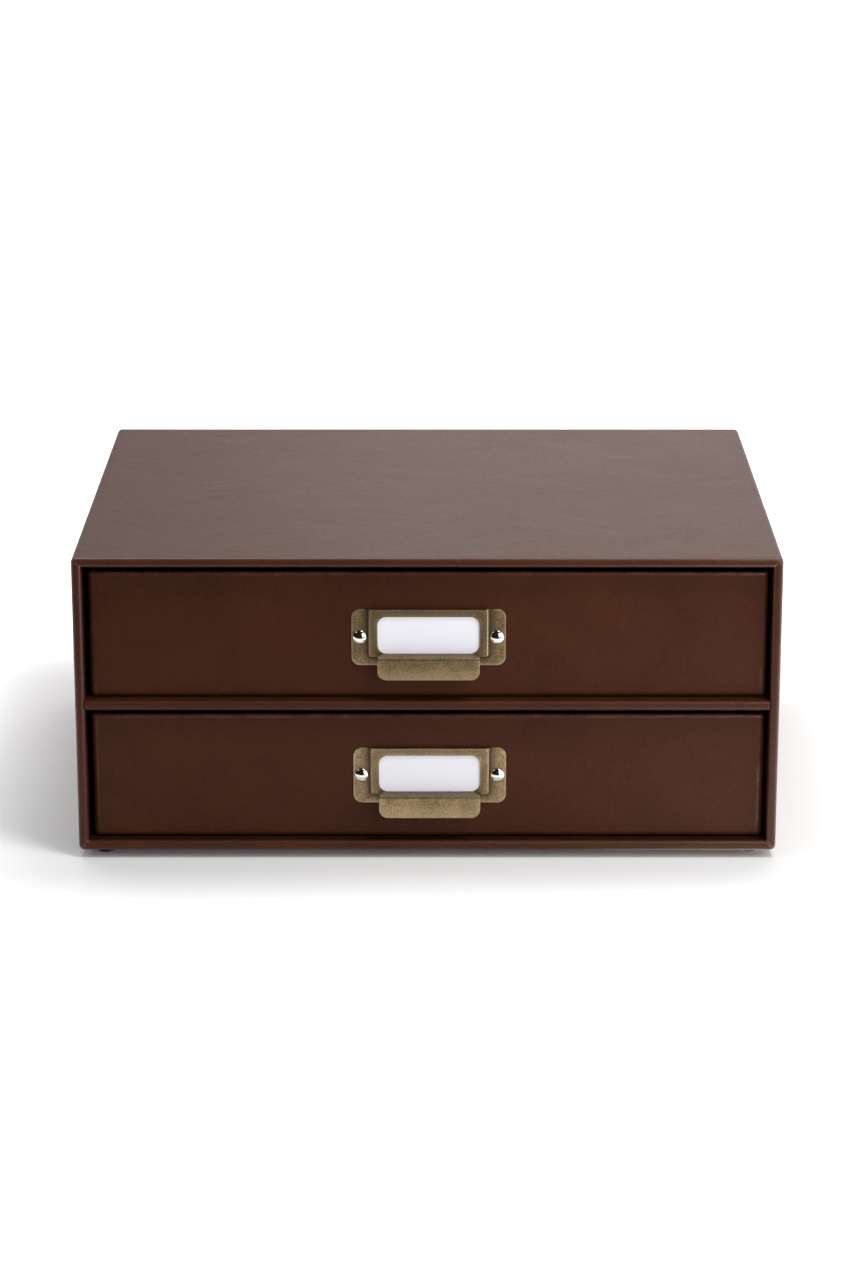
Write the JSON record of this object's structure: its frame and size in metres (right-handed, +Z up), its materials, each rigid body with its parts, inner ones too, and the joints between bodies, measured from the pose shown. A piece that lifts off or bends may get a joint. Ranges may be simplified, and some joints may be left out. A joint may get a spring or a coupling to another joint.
{
  "type": "desk organizer box",
  "caption": "Low rectangular desk box of paper-covered board on small rubber feet, with shallow drawers one above the other, each with a brass label holder that bends out into a pull.",
  "frame": {"origin": "on the floor, under the middle of the whole box including the pulls", "axes": "+X to the right along the front (the longest side), -Y out of the drawer fronts, +Z up"},
  "size_m": [0.33, 0.2624, 0.1475],
  "materials": {
    "greyboard": "matt",
    "cover_paper": "leather-grain coated paper, satin",
    "lining_paper": "matt",
    "antique_brass": "antique, lacquered",
    "nickel": "bright nickel",
    "foot_rubber": "satin",
    "card": "smooth white card"
  },
  "bodies": {
    "root": {"top_board": "greyboard", "bottom_board": "greyboard", "left_board": "greyboard", "right_board": "greyboard", "back_board": "greyboard", "shelf_board": "greyboard", "case_cover": "cover_paper", "case_lining": "lining_paper", "back_cover": "cover_paper", "shelf_cover": "cover_paper", "foot_front_left": "foot_rubber", "foot_front_right": "foot_rubber", "foot_back_left": "foot_rubber", "foot_back_right": "foot_rubber"},
    "upper_drawer": {"upper_front_board": "greyboard", "upper_back_board": "greyboard", "upper_left_board": "greyboard", "upper_right_board": "greyboard", "upper_bottom_board": "greyboard", "upper_drawer_cover": "cover_paper", "upper_drawer_lining": "lining_paper", "upper_label_holder": "antique_brass", "upper_rivet_caps": "nickel", "upper_rivet_posts": "nickel"},
    "upper_label": {"upper_label_card": "card"},
    "lower_drawer": {"lower_front_board": "greyboard", "lower_back_board": "greyboard", "lower_left_board": "greyboard", "lower_right_board": "greyboard", "lower_bottom_board": "greyboard", "lower_drawer_cover": "cover_paper", "lower_drawer_lining": "lining_paper", "lower_label_holder": "antique_brass", "lower_rivet_caps": "nickel", "lower_rivet_posts": "nickel"},
    "lower_label": {"lower_label_card": "card"}
  },
  "joints": [
    {"name": "upper_drawer_slide", "type": "slide", "parent": "root", "child": "upper_drawer", "axis": [0, -1, 0], "range_m": [0, 0.18]},
    {"name": "upper_label_slide", "type": "slide", "parent": "upper_drawer", "child": "upper_label", "axis": [0, 0, 1], "range_m": [0, 0.018]},
    {"name": "lower_drawer_slide", "type": "slide", "parent": "root", "child": "lower_drawer", "axis": [0, -1, 0], "range_m": [0, 0.18]},
    {"name": "lower_label_slide", "type": "slide", "parent": "lower_drawer", "child": "lower_label", "axis": [0, 0, 1], "range_m": [0, 0.018]}
  ]
}
